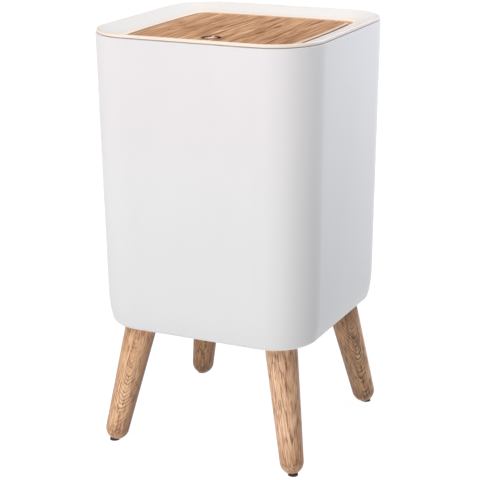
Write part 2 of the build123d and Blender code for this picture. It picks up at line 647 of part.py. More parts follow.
put("latch_spring", latch_spring())

lat = []
for s in (-1, 1):
    x = s * 16.0
    c = rod_z(x, LY, HZ1 - 2.4 - 1.6, HZ1 - 2.4, 2.6) + rod_z(x, LY, HZ1 - 2.5, SHELF_TOP - 0.9, 1.2)
    c = c - box(x - 1.6, x + 1.6, LY - 0.35, LY + 0.35, HZ1 - 4.1, HZ1 - 3.2) - box(x - 0.35, x + 0.35, LY - 1.6, LY + 1.6, HZ1 - 4.1, HZ1 - 3.2)
    lat.append(c)
put("latch_screws", Compound(children=[s.solids()[0] for s in lat]))
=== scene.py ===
import bpy
import math
from mathutils import Matrix, Vector


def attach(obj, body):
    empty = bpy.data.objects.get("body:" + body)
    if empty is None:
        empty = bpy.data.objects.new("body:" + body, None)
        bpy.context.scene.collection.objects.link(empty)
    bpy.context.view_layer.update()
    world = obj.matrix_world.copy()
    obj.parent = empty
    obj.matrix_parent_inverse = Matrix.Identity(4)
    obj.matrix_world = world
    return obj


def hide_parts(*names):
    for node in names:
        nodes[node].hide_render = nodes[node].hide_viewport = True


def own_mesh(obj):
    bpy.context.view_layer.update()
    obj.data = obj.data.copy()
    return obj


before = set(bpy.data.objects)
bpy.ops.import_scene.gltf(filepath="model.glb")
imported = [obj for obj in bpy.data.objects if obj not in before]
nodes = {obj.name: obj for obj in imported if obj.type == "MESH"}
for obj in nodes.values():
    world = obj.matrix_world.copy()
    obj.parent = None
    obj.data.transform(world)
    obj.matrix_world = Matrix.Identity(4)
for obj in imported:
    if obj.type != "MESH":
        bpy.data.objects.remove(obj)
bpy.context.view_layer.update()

scene = bpy.context.scene
scene.view_settings.view_transform = "Standard"
scene.view_settings.look = "None"
scene.view_settings.exposure = 0.0
scene.view_settings.gamma = 1.0


# ---------------------------------------------------------------------------
# Camera, from a fit to the bin's outline
# ---------------------------------------------------------------------------
def make_camera():
    az, el, roll = math.radians(25.439), math.radians(17.199), math.radians(-0.440)
    dist, look_z = 1.544858, 0.203339
    back = Vector((math.sin(az) * math.cos(el), -math.cos(az) * math.cos(el), math.sin(el)))
    right = (-back).cross(Vector((0, 0, 1))).normalized()
    up = right.cross(-back)
    r = math.cos(roll) * right + math.sin(roll) * up
    u = -math.sin(roll) * right + math.cos(roll) * up
    data = bpy.data.cameras.new("camera")
    data.sensor_width = 36.0
    data.lens = 1478.073 * 36.0 / 480.0
    data.shift_x = -(242.659 - 240.0) / 480.0
    data.shift_y = (239.961 - 240.0) / 480.0
    data.clip_start, data.clip_end = 0.05, 200.0
    cam = bpy.data.objects.new("camera", data)
    scene.collection.objects.link(cam)
    m = Matrix((r, u, back)).transposed().to_4x4()
    m.translation = Vector((0, 0, look_z)) + back * dist
    cam.matrix_world = m
    scene.camera = cam


make_camera()


# ---------------------------------------------------------------------------
# Node helpers
# ---------------------------------------------------------------------------
def lin(r, g, b):
    """sRGB 0..255 to linear."""
    out = []
    for c in (r, g, b):
        c = c / 255.0
        out.append(c / 12.92 if c <= 0.04045 else ((c + 0.055) / 1.055) ** 2.4)
    return (*out, 1.0)


class Mat:
    def __init__(self, name):
        self.m = bpy.data.materials.new(name)
        self.m.use_nodes = True
        self.t = self.m.node_tree
        self.t.nodes.clear()
        self.out = self.t.nodes.new("ShaderNodeOutputMaterial")
        self.bsdf = self.t.nodes.new("ShaderNodeBsdfPrincipled")
        self.t.links.new(self.bsdf.outputs[0], self.out.inputs[0])
        self.coord = self.t.nodes.new("ShaderNodeTexCoord").outputs["Object"]

    def set(self, **kw):
        for k, v in kw.items():
            self.bsdf.inputs[k.replace("_", " ")].default_value = v
        return self

    def link(self, a, b):
        self.t.links.new(a, b)

    def _in(self, sock, v):
        if isinstance(v, (int, float)):
            sock.default_value = v
        elif isinstance(v, (tuple, list, Vector)):
            sock.default_value = tuple(v)[: len(sock.default_value)]
        else:
            self.link(v, sock)

    def math(self, op, a, b=0.0, c=None, clamp=False):
        n = self.t.nodes.new("ShaderNodeMath")
        n.operation = op
        n.use_clamp = clamp
        self._in(n.inputs[0], a)
        self._in(n.inputs[1], b)
        if c is not None:
            self._in(n.inputs[2], c)
        return n.outputs[0]

    def vmath(self, op, a, b=(0, 0, 0)):
        n = self.t.nodes.new("ShaderNodeVectorMath")
        n.operation = op
        self._in(n.inputs[0], a)
        self._in(n.inputs[1], b)
        return n.outputs["Value"] if op in ("LENGTH", "DISTANCE", "DOT_PRODUCT") else n.outputs["Vector"]

    def mapping(self, v, loc=(0, 0, 0), rot=(0, 0, 0), scale=(1, 1, 1)):
        n = self.t.nodes.new("ShaderNodeMapping")
        self._in(n.inputs["Vector"], v)
        n.inputs["Location"].default_value = loc
        n.inputs["Rotation"].default_value = rot
        n.inputs["Scale"].default_value = scale
        return n.outputs[0]

    def noise(self, v, scale=5.0, detail=2.0, rough=0.5, dist=0.0, color=False):
        n = self.t.nodes.new("ShaderNodeTexNoise")
        self._in(n.inputs["Vector"], v)
        n.inputs["Scale"].default_value = scale
        n.inputs["Detail"].default_value = detail
        n.inputs["Roughness"].default_value = rough
        n.inputs["Distortion"].default_value = dist
        return n.outputs["Color" if color else "Fac"]

    def voronoi(self, v, scale=5.0, feature="F1", rand=1.0):
        n = self.t.nodes.new("ShaderNodeTexVoronoi")
        n.feature = feature
        self._in(n.inputs["Vector"], v)
        n.inputs["Scale"].default_value = scale
        n.inputs["Randomness"].default_value = rand
        return n.outputs["Distance"]

    def ramp(self, f, stops, interp="LINEAR"):
        n = self.t.nodes.new("ShaderNodeValToRGB")
        self._in(n.inputs[0], f)
        cr = n.color_ramp
        cr.interpolation = interp
        while len(cr.elements) < len(stops):
            cr.elements.new(0.5)
        for e, (p, c) in zip(cr.elements, stops):
            e.position = p
            e.color = c if len(c) == 4 else (*c, 1.0)
        return n.outputs["Color"]

    def maprange(self, f, a, b, c=0.0, d=1.0, smooth=False):
        n = self.t.nodes.new("ShaderNodeMapRange")
        n.interpolation_type = "SMOOTHSTEP" if smooth else "LINEAR"
        self._in(n.inputs["Value"], f)
        for k, v in (("From Min", a), ("From Max", b), ("To Min", c), ("To Max", d)):
            n.inputs[k].default_value = v
        return n.outputs["Result"]

    def mix(self, f, a, b, blend="MIX"):
        n = self.t.nodes.new("ShaderNodeMix")
        n.data_type = "RGBA"
        n.blend_type = blend
        n.clamp_result = True
        self._in(n.inputs["Factor"], f)
        self._in(n.inputs[6], a)
        self._in(n.inputs[7], b)
        return n.outputs[2]

    def times(self, colour, value, warm=0.0):
        """Colour scaled by a value; warm makes the darker end redder."""
        f = self.math("MAXIMUM", value, 0.0)
        if warm:
            f = self.vec(f, self.math("POWER", f, 1.0 + warm), self.math("POWER", f, 1.0 + 2.0 * warm))
        else:
            f = self.vec(f, f, f)
        return self.vmath("MULTIPLY", colour, f)

    def curve(self, f, stops):
        """Piecewise linear function of f, as (position, value) pairs."""
        out = stops[0][1]
        for (a, va), (b, vb) in zip(stops, stops[1:]):
            out = self.math("ADD", out, self.maprange(f, a, b, 0.0, vb - va))
        return out

    def xyz(self, v):
        n = self.t.nodes.new("ShaderNodeSeparateXYZ")
        self._in(n.inputs[0], v)
        return n.outputs

    def vec(self, x, y, z):
        n = self.t.nodes.new("ShaderNodeCombineXYZ")
        for s, q in zip(n.inputs, (x, y, z)):
            self._in(s, q)
        return n.outputs[0]

    def bump(self, h, dist=0.0002, strength=1.0, normal=None):
        n = self.t.nodes.new("ShaderNodeBump")
        n.inputs["Strength"].default_value = strength
        n.inputs["Distance"].default_value = dist
        self._in(n.inputs["Height"], h)
        if normal is not None:
            self.link(normal, n.inputs["Normal"])
        return n.outputs[0]

    def color(self, s):
        self._in(self.bsdf.inputs["Base Color"], s)
        return self

    def rough(self, s):
        self._in(self.bsdf.inputs["Roughness"], s)
        return self

    def normal(self, s):
        self.link(s, self.bsdf.inputs["Normal"])
        return self


# ---------------------------------------------------------------------------
# Plastics
# ---------------------------------------------------------------------------
def moulded(name, base, tint, rough=0.46, grain=900.0, depth=0.00004, spread=0.5):
    """Matt moulded plastic: fine spark texture, faint flow marks and a slow change of tone."""
    m = Mat(name)
    slow = m.noise(m.mapping(m.coord, scale=(1, 1, 0.45)), scale=9.0, detail=3.0, rough=0.55)
    flow = m.noise(m.mapping(m.coord, scale=(1, 1, 0.2)), scale=38.0, detail=4.0, rough=0.6)
    tone = m.math("MULTIPLY_ADD", flow, 0.35, m.math("MULTIPLY", slow, 0.65))
    m.color(m.mix(m.maprange(tone, 0.5 - spread / 2, 0.5 + spread / 2), base, tint))
    fine = m.noise(m.coord, scale=grain, detail=3.0, rough=0.62)
    pits = m.maprange(m.voronoi(m.coord, scale=grain * 0.55), 0.05, 0.5)
    m.rough(m.maprange(m.math("ADD", fine, m.math("MULTIPLY", slow, 0.6)), 0.5, 1.1, rough - 0.05, rough + 0.07))
    h = m.math("ADD", m.math("MULTIPLY", fine, 0.7), m.math("MULTIPLY", pits, 0.3))
    n1 = m.bump(h, dist=depth, strength=0.55)
    n2 = m.bump(m.noise(m.coord, scale=26.0, detail=1.0), dist=0.0005, strength=0.05, normal=n1)
    m.normal(n2)
    return m


shell_white = moulded("shell_white", lin(238, 237, 238), lin(233, 232, 233), rough=0.50)
sx_, sy_, sz_ = shell_white.xyz(shell_white.coord)
# painted shade: the wall grows darker towards the floor
painted_wall_fall = shell_white.maprange(sz_, 0.425, 0.130, 1.022, 0.905)
# painted light and shade: a soft bright band, then a darker one, round the front right corner
ang = shell_white.math(
    "ARCTAN2",
    shell_white.math("MAXIMUM", shell_white.math("SUBTRACT", sx_, 0.0675), 0.0),
    shell_white.math("MAXIMUM", shell_white.math("MULTIPLY_ADD", sy_, -1.0, -0.0675), 0.0001))
painted_corner_band = shell_white.curve(ang, [(0.0, 1.003), (0.20, 1.035), (0.55, 1.043), (1.0, 0.975), (1.3, 0.872), (1.45, 0.862), (1.57, 0.905)])
# painted light down the right side, brighter towards the back
side = shell_white.math("MULTIPLY", shell_white.maprange(sx_, 0.085, 0.108), shell_white.maprange(sy_, -0.0675, 0.115, 0.0, 0.115))
# none of it reaches the back
front_of = shell_white.maprange(sy_, 0.06, 0.105, 1.0, 0.0, smooth=True)
# painted shade low on the right side, deepest towards the floor
painted_low_shade = shell_white.math("MULTIPLY", shell_white.maprange(ang, 1.1, 1.4), shell_white.maprange(sz_, 0.33, 0.15, 0.0, -0.055))
both = shell_white.math("ADD", shell_white.math("ADD", painted_corner_band, side), painted_low_shade)
turned = shell_white.math("MULTIPLY_ADD", shell_white.math("SUBTRACT", both, 1.0), front_of, 1.0)
# the painted light and shade together, multiplied into the wall's colour
painted_shell_shading = shell_white.math("MULTIPLY", painted_wall_fall, turned)
shell_white.color(shell_white.times(shell_white.bsdf.inputs["Base Color"].links[0].from_socket, painted_shell_shading))
# painted warm light: faintly rosier in the upper part of the front
rosy = shell_white.math("MULTIPLY", shell_white.maprange(sz_, 0.26, 0.36, 0.0, 1.0, smooth=True), shell_white.maprange(sy_, -0.06, -0.10))
tint_ = shell_white.mix(rosy, (1, 1, 1, 1), (1.0, 0.968, 0.974, 1))
# and painted cool light: cooler down the right side, most towards the floor
painted_cool_side = shell_white.math("MULTIPLY", shell_white.maprange(ang, 0.45, 1.15), front_of)
right_ = shell_white.mix(shell_white.maprange(sz_, 0.40, 0.17), (1.02, 1.0, 1.012, 1), (0.995, 1.03, 1.095, 1))
tint_ = shell_white.mix(painted_cool_side, tint_, right_)
shell_white.color(shell_white.mix(1.0, shell_white.bsdf.inputs["Base Color"].links[0].from_socket, tint_, "MULTIPLY"))


def half_at(m):
    """Distance from the bin's axis to the side, as the larger of |x| and |y|, and the height, both in millimetres."""
    x, y, z = m.xyz(m.coord)
    ax, ay = m.math("ABSOLUTE", x), m.math("ABSOLUTE", y)
    return (m.math("MULTIPLY", m.math("MAXIMUM", ax, ay), 1000.0), m.math("MULTIPLY", z, 1000.0),
            m.math("MULTIPLY", x, 1000.0), m.math("MULTIPLY", y, 1000.0))


def tint(m, fac, colour):
    """Blend the colour already on the material towards another where fac is high."""
    sock = m.bsdf.inputs["Base Color"]
    before = sock.links[0].from_socket
    m.color(m.mix(fac, before, colour))


def outline(m, px, py, core):
    """Distance in millimetres outside a square whose half side is core, rounded at its corners."""
    cx = m.math("MAXIMUM", m.math("SUBTRACT", m.math("ABSOLUTE", px), core), 0.0)
    cy = m.math("MAXIMUM", m.math("SUBTRACT", m.math("ABSOLUTE", py), core), 0.0)
    return m.math("SQRT", m.math("ADD", m.math("MULTIPLY", cx, cx), m.math("MULTIPLY", cy, cy)))


cover_cream = moulded("cover_cream", lin(252, 248, 243), lin(249, 244, 237), rough=0.46, grain=1100.0)
h, z, px, py = half_at(cover_cream)
lip_ = outline(cover_cream, px, py, 74.5)
# warmer towards the lip of the opening, where light comes back off the wood
near_lip = cover_cream.maprange(lip_, 25.5, 17.8, 0.0, 0.62, smooth=True)
on_top = cover_cream.maprange(z, 424.2, 424.9)
tint(cover_cream, cover_cream.math("MULTIPLY", near_lip, on_top), lin(250, 226, 202))
# the wall of the collar, in shade and lit by the wood
wall_ = cover_cream.math("MULTIPLY", cover_cream.maprange(lip_, 19.8, 18.8), cover_cream.maprange(z, 424.6, 423.8))
wall_ = cover_cream.math("MULTIPLY", wall_, cover_cream.maprange(z, 416.6, 417.2))
left_ = cover_cream.maprange(px, -60.0, -80.0)
tint(cover_cream, wall_, lin(238, 198, 152))
tint(cover_cream, cover_cream.math("MULTIPLY", wall_, left_), lin(252, 208, 156))
# a painted highlight: a faint glow along the very edge of the lip
gleam = cover_cream.math("MULTIPLY", cover_cream.maprange(lip_, 20.6, 18.6), cover_cream.maprange(z, 424.3, 424.8))
cover_cream.link(cover_cream.mix(gleam, (0, 0, 0, 1), lin(255, 226, 200)), cover_cream.bsdf.inputs["Emission Color"])
cover_cream.bsdf.inputs["Emission Strength"].default_value = 0.10
# the rolled rim is a little warmer, its own cream colour together with painted warm bounce light, and on the right it
# is painted duller, a painted shade
out_ = outline(cover_cream, px, py, 67.5)
rim_ = cover_cream.math("MULTIPLY", cover_cream.maprange(out_, 48.2, 50.2), cover_cream.maprange(z, 429.4, 430.0))
rim_front = cover_cream.math("MULTIPLY", rim_, cover_cream.maprange(px, 116.0, 106.0))
tint(cover_cream, cover_cream.math("MULTIPLY", rim_front, 0.8), lin(255, 236, 218))
rim_right = cover_cream.math("MULTIPLY", rim_, cover_cream.maprange(px, 104.0, 116.0))
tint(cover_cream, cover_cream.math("MULTIPLY", rim_right, 0.8), lin(238, 222, 217))
# painted shade in the groove under the rim
painted_groove_shade = cover_cream.math("MULTIPLY", cover_cream.maprange(out_, 46.0, 47.0), cover_cream.maprange(z, 429.5, 429.2))
painted_groove_shade = cover_cream.math("MULTIPLY", painted_groove_shade, cover_cream.maprange(z, 427.9, 428.2))
tint(cover_cream, painted_groove_shade, lin(196, 180, 166))

lid_cream = moulded("lid_cream", lin(230, 192, 158), lin(225, 186, 152), rough=0.42, grain=1100.0)
h, z, px, py = half_at(lid_cream)
# painted shade: the border is painted darker, near the colour of the wood, along its left and front sides
painted_side_shade = lid_cream.math("MAXIMUM", lid_cream.maprange(px, -82.0, -84.5), lid_cream.maprange(py, -82.0, -84.5))
tint(lid_cream, painted_side_shade, lin(214, 172, 134))
lid_out = outline(lid_cream, px, py, 74.5)
# painted shade: the lid's outer side, down in the gap to the frame, dark brown
painted_gap_shade = lid_cream.math("MULTIPLY", lid_cream.maprange(z, 424.3, 423.7), lid_cream.maprange(lid_out, 10.4, 10.8))
painted_gap_shade = lid_cream.math("MULTIPLY", painted_gap_shade, lid_cream.maprange(lid_out, 13.7, 13.4))
tint(lid_cream, painted_gap_shade, lin(150, 112, 86))
# all that is under the top skin is the plain cream of the moulding
inner_ = lid_cream.math("MULTIPLY", lid_cream.maprange(z, 423.4, 423.0), lid_cream.math("SUBTRACT", 1.0, painted_gap_shade))
tint(lid_cream, inner_, lin(242, 234, 224))
liner_cream = moulded("liner_cream", lin(243, 236, 227), lin(239, 231, 221), rough=0.44, grain=1100.0)
latch_grey = moulded("latch_grey", lin(150, 152, 154), lin(138, 140, 143), rough=0.38, grain=1500.0)
damper_dark = moulded("damper_dark", lin(34, 34, 36), lin(26, 26, 28), rough=0.36, grain=1500.0)


# ---------------------------------------------------------------------------
# Wood
# ---------------------------------------------------------------------------
def wood(name, v, palette, ring_scale, warp, pith, tilt=(0.0, 0.0), seed=0.0, knots=(), line=0.75,
         rough=0.46, depth=0.00012, streak=(210.0, 0.06, 0.6), thin=(150.0, 0.05, 0.022, 0.6),
         pores=(700.0, 0.09, 0.56, 0.64, 0.8), ring_mix=1.0, vee=0.0, wobble=0.0, shade=None):
    """Wood with the grain along z of v, in metres: growth rings round a leaning pith, streaks, thin dark lines and pores."""
    m = Mat(name)
    v = v(m)
    x, y, z = m.xyz(v)
    # slow wander of the grain, much longer along the trunk than across it
    w1 = m.noise(m.mapping(v, loc=(seed, seed * 0.7, seed * 1.3), scale=(1, 1, 0.16)), scale=34.0, detail=2.0, rough=0.5, color=True)
    w1x, w1y, _ = m.xyz(m.vmath("SUBTRACT", w1, (0.5, 0.5, 0.5)))
    w2 = m.noise(m.mapping(v, loc=(seed * 2.1, 3.0, seed), scale=(1, 1, 0.1)), scale=130.0, detail=3.0, rough=0.6)
    px = m.math("ADD", m.math("SUBTRACT", x, pith[0]), m.math("MULTIPLY_ADD", z, tilt[0], m.math("MULTIPLY", w1x, warp)))
    py = m.math("ADD", m.math("SUBTRACT", y, pith[1]), m.math("MULTIPLY_ADD", z, tilt[1], m.math("MULTIPLY", w1y, warp)))
    if vee > 0.0:
        # rings cut at a slant: nested pointed arches that open upwards
        r = m.math("ADD", m.math("ABSOLUTE", py),
                   m.math("MULTIPLY", m.math("SQRT", m.math("MULTIPLY_ADD", px, px, 0.0012 ** 2)), vee))
    else:
        r = m.math("SQRT", m.math("ADD", m.math("MULTIPLY", px, px), m.math("MULTIPLY", py, py)))
    early, mid, late, dark = palette
    rings = m.math("ADD", m.math("MULTIPLY", r, ring_scale), m.math("MULTIPLY", w2, 0.55))
    if wobble > 0.0:
        w3 = m.noise(m.mapping(v, loc=(seed, 7.0, seed * 3.0), scale=(1, 1, 0.45)), scale=210.0, detail=2.0, rough=0.55)
        rings = m.math("ADD", rings, m.math("MULTIPLY", w3, wobble))
    saw = m.math("FRACT", rings)
    # earlywood to latewood within a ring, then a quick return
    body = m.ramp(saw, [(0.0, early), (0.45, mid), (line, late), (line + 0.14, dark), (0.97, early)])
    # ring-to-ring difference
    step = m.noise(m.vec(m.math("FLOOR", rings), seed + 0.5, 0.0), scale=1.7, detail=0.0)
    body = m.mix(m.maprange(step, 0.3, 0.7, 1.0 - ring_mix, 1.0), body, mid)
    if vee > 0.0:
        # the arches come and go, and give way to plain straight grain higher up
        patch = m.noise(m.mapping(v, loc=(seed * 1.9, 4.0, 2.0), scale=(1, 1, 0.6)), scale=95.0, detail=2.0, rough=0.6)
        body = m.mix(m.maprange(patch, 0.44, 0.64, 0.0, 0.75), body, mid)
        body = m.mix(m.maprange(z, 0.070, 0.115, 0.0, 0.65), body, mid)
    # the streaks and lines bend round the knots
    bend = 0.0
    for kx, kz, kr, amp, _ in knots:
        dx = m.math("SUBTRACT", x, kx)
        dz = m.math("MULTIPLY", m.math("SUBTRACT", z, kz), 0.30)
        d2 = m.math("ADD", m.math("MULTIPLY", dx, dx), m.math("MULTIPLY", dz, dz))
        g = m.math("EXPONENT", m.math("DIVIDE", d2, -kr * kr))
        bend = m.math("ADD", bend, m.math("MULTIPLY", m.math("MULTIPLY", dx, g), amp))
    wx = m.math("ADD", m.math("ADD", x, bend), m.math("MULTIPLY", w1x, warp * 0.35))
    g = m.vec(wx, y, z)
    # broad streaks, darker and lighter
    s_scale, s_len, s_amt = streak
    st = m.noise(m.mapping(g, loc=(seed * 3.0, 2.0, seed), scale=(1, 1, s_len)), scale=s_scale, detail=3.0, rough=0.62)
    fib = m.noise(m.mapping(g, loc=(4, 2, 7), scale=(1, 1, s_len * 0.8)), scale=s_scale * 2.6, detail=3.0, rough=0.7)
    dev = m.math("ADD", m.math("MULTIPLY", m.math("SUBTRACT", st, 0.5), s_amt),
                 m.math("MULTIPLY", m.math("SUBTRACT", fib, 0.5), s_amt * 0.8))
    body = m.times(body, m.math("ADD", dev, 1.0), warm=0.30)
    # thin dark lines, broken along their length
    t_scale, t_len, t_w, t_amt = thin
    tn = m.noise(m.mapping(g, loc=(seed, 8.0, seed * 2.0), scale=(1, 1, t_len)), scale=t_scale, detail=2.0, rough=0.5)
    tg = m.noise(m.mapping(g, loc=(seed * 5.0, 1.0, 6.0), scale=(1, 1, 0.35)), scale=t_scale * 0.4, detail=2.0)
    ln = m.maprange(m.math("ABSOLUTE", m.math("SUBTRACT", tn, 0.5)), 0.0, t_w, 1.0, 0.0)
    ln = m.math("MULTIPLY", ln, m.maprange(tg, 0.46, 0.60))
    body = m.mix(m.math("MULTIPLY", ln, t_amt), body, dark)
    # short dark pores
    p_scale, p_len, p_lo, p_hi, p_amt = pores
    pore = m.noise(m.mapping(g, loc=(9, 1, 3), scale=(1, 1, p_len)), scale=p_scale, detail=1.5, rough=0.5)
    gate = m.maprange(saw, 0.30, 0.80)
    pf = m.math("MULTIPLY", m.maprange(pore, p_lo, p_hi), m.math("MULTIPLY_ADD", gate, 0.5, 0.5))
    body = m.mix(m.math("MULTIPLY", pf, p_amt), body, dark)
    # hearts of the knots; a knot with no heart is a pale eye inside a dark ring
    for kx, kz, kr, amp, heart in knots:
        wide = heart if heart > 0.0 else kr * 0.55
        dx = m.math("DIVIDE", m.math("SUBTRACT", x, kx), wide)
        dz = m.math("DIVIDE", m.math("SUBTRACT", z, kz), wide * (4.0 if heart > 0.0 else 3.2))
        d = m.math("SQRT", m.math("ADD", m.math("MULTIPLY", dx, dx), m.math("MULTIPLY", dz, dz)))
        d = m.math("ADD", d, m.math("MULTIPLY", m.math("SUBTRACT", fib, 0.5), 0.6))
        if heart > 0.0:
            body = m.mix(m.maprange(d, 1.2, 0.5, 0.0, 0.85), body, dark)
        else:
            body = m.mix(m.maprange(d, 0.6, 0.1, 0.0, 0.6), body, early)
            off = m.math("ABSOLUTE", m.math("SUBTRACT", d, 1.0))
            body = m.mix(m.maprange(off, 0.30, 0.0, 0.0, 0.65), body, dark)
    # slow tone change over the piece
    tone = m.noise(m.mapping(v, loc=(seed, 5, 5), scale=(1, 1, 0.35)), scale=22.0, detail=2.0)
    body = m.mix(m.maprange(tone, 0.35, 0.7, 0.0, 0.30), body, late)
    if shade is not None:
        body = shade(m, body)
    m.color(body)
    m.rough(m.maprange(m.math("ADD", fib, m.math("MULTIPLY", saw, 0.4)), 0.3, 1.1, rough - 0.06, rough + 0.10))
    h = m.math("SUBTRACT", m.math("MULTIPLY", fib, 0.5), m.math("MULTIPLY", pf, 0.9))
    m.normal(m.bump(h, dist=depth, strength=0.6))
    return m


LID_PALETTE = (lin(230, 178, 135), lin(214, 161, 118), lin(192, 136, 93), lin(136, 86, 52))
LEG_PALETTE = (lin(232, 192, 154), lin(214, 169, 129), lin(174, 124, 84))
# no two legs come from the same plank: one pinker, one yellower
LEG_OWN = {"leg_front_right": (lin(233, 195, 160), lin(215, 172, 136), lin(176, 125, 88)),
           "leg_rear_left": (lin(230, 188, 142), lin(210, 162, 112), lin(168, 114, 66))}


def lid_coords(m):
    # the grain runs along y of the frame; the panel's face is cut well off the pith
    x, y, z = m.xyz(m.coord)
    return m.vec(x, z, y)


def lid_shade(m, body):
    """Painted light and shade: a little lighter towards the left and darker towards the right."""
    x, _, _ = m.xyz(m.coord)
    return m.times(body, m.maprange(x, -0.07, 0.07, 1.06, 0.92), warm=0.2)


lid_wood = wood(
    "lid_wood", lid_coords, LID_PALETTE, ring_scale=230.0, warp=0.012, pith=(-0.02, 0.375), tilt=(0.05, 0.035), seed=1.7,
    knots=((-0.064, -0.016, 0.009, 0.9, 0.0), (0.0268, -0.013, 0.008, 1.0, 0.0034), (0.0285, 0.026, 0.008, 0.8, 0.0028)),
    line=0.70, rough=0.42, depth=0.00006, streak=(270.0, 0.045, 2.5), thin=(120.0, 0.045, 0.026, 0.75),
    pores=(620.0, 0.05, 0.60, 0.70, 0.5), ring_mix=0.6, shade=lid_shade)


def leg_coords(sx, sy, turn):
    k = (102.2 - 77.9) / 130.3
    at = 102.2 - k * 1.95
    origin = Vector((sx * at, sy * at, 1.95)) / 1000.0
    up = Vector((-k * sx, -k * sy, 1.0)).normalized()
    side = up.cross(Vector((math.cos(turn), math.sin(turn), 0))).normalized()
    fwd = up.cross(side)

    def f(m):
        p = m.vmath("SUBTRACT", m.coord, tuple(origin))
        return m.vec(m.vmath("DOT_PRODUCT", p, tuple(side)), m.vmath("DOT_PRODUCT", p, tuple(fwd)),
                     m.vmath("DOT_PRODUCT", p, tuple(up)))
    return f


LEGS = {
    # sx, sy, turn, seed, pith distance, lean of the pith, ring scale, point of the arches, wander of the grain,
    # painted light and shade across the leg from left to right, lower all over on the rear legs as painted shade under
    # the bin, streaks, darkest wood, weight of the rings
    "leg_front_left": (-1, -1, 1.86, 3.1, 0.064, 0.38, 470.0, 0.50, 0.014,
                       [(-1.0, 1.0), (-0.7, 1.12), (-0.4, 1.18), (0.0, 1.06), (0.4, 0.95), (0.7, 0.62), (1.0, 0.20)],
                       (420.0, 0.12, 1.1), lin(132, 70, 40), 1.25),
    "leg_front_right": (1, -1, 2.30, 7.7, 0.070, 0.03, 520.0, 0.0, 0.008,
                        [(-1.0, 1.0), (-0.7, 1.16), (-0.4, 1.20), (0.0, 1.06), (0.4, 1.00), (0.7, 0.84), (1.0, 0.66)],
                        (520.0, 0.06, 1.1), lin(122, 66, 44), 0.6),
    "leg_rear_left": (-1, 1, 2.00, 12.9, 0.056, 0.34, 460.0, 0.55, 0.012,
                      [(-1.0, 0.54), (-0.4, 0.52), (0.0, 0.49), (0.5, 0.51), (0.8, 0.42), (1.0, 0.34)],
                      (360.0, 0.12, 1.7), lin(62, 30, 10), 1.8),
    "leg_rear_right": (1, 1, 2.20, 18.3, 0.064, 0.38, 430.0, 0.42, 0.014,
                       [(-1.0, 0.55), (-0.7, 0.63), (-0.4, 0.71), (0.0, 0.71), (0.4, 0.77), (0.7, 0.85), (1.0, 1.08)],
                       (380.0, 0.12, 1.5), lin(62, 24, 10), 1.9),
}


def leg_shade(painted_tones, rear):
    def f(m, body):
        """Painted light and shade across the leg, read from its normal; darker towards the tip of the foot; painted
        shade just under the shell on the rear legs, and painted light there on the front legs.
        """
        n = m.t.nodes.new("ShaderNodeNewGeometry").outputs["Normal"]
        # painted light and shade, by which way the surface faces
        across = m.vmath("DOT_PRODUCT", n, (0.903, 0.429, 0.0))
        body = m.times(body, m.curve(across, painted_tones), warm=0.22)
        _, _, z = m.xyz(m.coord)
        body = m.times(body, m.maprange(z, 0.030, 0.004, 1.0, 0.80, smooth=True), warm=0.2)
        # painted shade just under the shell on the rear legs; painted light at the tops of the front legs
        if rear:
            return m.times(body, m.maprange(z, 0.086, 0.116, 1.0, 0.62, smooth=True), warm=0.2)
        return m.times(body, m.maprange(z, 0.105, 0.122, 1.0, 1.1, smooth=True), warm=0.0)
    return f


leg_woods = {}
for name, (sx, sy, turn, seed, away, lean, rs, vee, warp, painted_tones, streaks, darkest, ring_mix) in LEGS.items():
    leg_woods[name] = wood(
        name + "_wood", leg_coords(sx, sy, turn), LEG_OWN.get(name, LEG_PALETTE) + (darkest,), ring_scale=rs, warp=warp, pith=(0.0, away),
        tilt=(0.01, lean), seed=seed, line=0.58, rough=0.48, depth=0.00014, streak=streaks,
        thin=(190.0, 0.09, 0.024, 0.6), pores=(560.0, 0.13, 0.55, 0.61, 0.8), ring_mix=ring_mix, vee=vee, wobble=0.9, shade=leg_shade(painted_tones, sy > 0))


# ---------------------------------------------------------------------------
# Rubber and metals
# ---------------------------------------------------------------------------
def rubber(name):
    m = Mat(name)
    n = m.noise(m.coord, scale=420.0, detail=3.0, rough=0.6)
    m.color(m.mix(n, lin(30, 27, 25), lin(52, 48, 45)))
    m.rough(m.maprange(n, 0.3, 0.7, 0.62, 0.8))
    m.normal(m.bump(n, dist=0.0001, strength=0.6))
    return m


def metal(name, a, b, rough, along=(1, 1, 1)):
    m = Mat(name)
    n = m.noise(m.mapping(m.coord, scale=along), scale=500.0, detail=3.0, rough=0.6)
    m.set(Metallic=1.0)
    m.color(m.mix(n, a, b))
    m.rough(m.maprange(n, 0.3, 0.7, rough - 0.07, rough + 0.08))
    m.normal(m.bump(n, dist=0.00003, strength=0.5))
    return m


pad_rubber = rubber("pad_rubber")
steel = metal("steel", lin(188, 189, 192), lin(168, 169, 173), 0.32)
spring_steel = metal("spring_steel", lin(150, 150, 154), lin(132, 132, 136), 0.30)
brass = metal("brass", lin(214, 178, 98), lin(192, 154, 80), 0.30)
magnet = metal("magnet", lin(205, 206, 210), lin(190, 191, 196), 0.18)

mark = Mat("mark")
mx, my, mz = mark.xyz(mark.coord)
mx, my = mark.math("ADD", mx, 0.0044), mark.math("ADD", my, 0.0585)
md = mark.math("SQRT", mark.math("ADD", mark.math("MULTIPLY", mx, mx), mark.math("MULTIPLY", my, my)))
mn = mark.noise(mark.coord, scale=700.0, detail=3.0)
field = mark.mix(mn, lin(196, 158, 132), lin(178, 140, 116))
centre = mark.mix(mn, lin(250, 222, 204), lin(240, 208, 186))
dark_ = mark.mix(mn, lin(72, 32, 10), lin(56, 24, 8))
pale_ = mark.mix(mn, lin(150, 112, 90), lin(138, 102, 80))
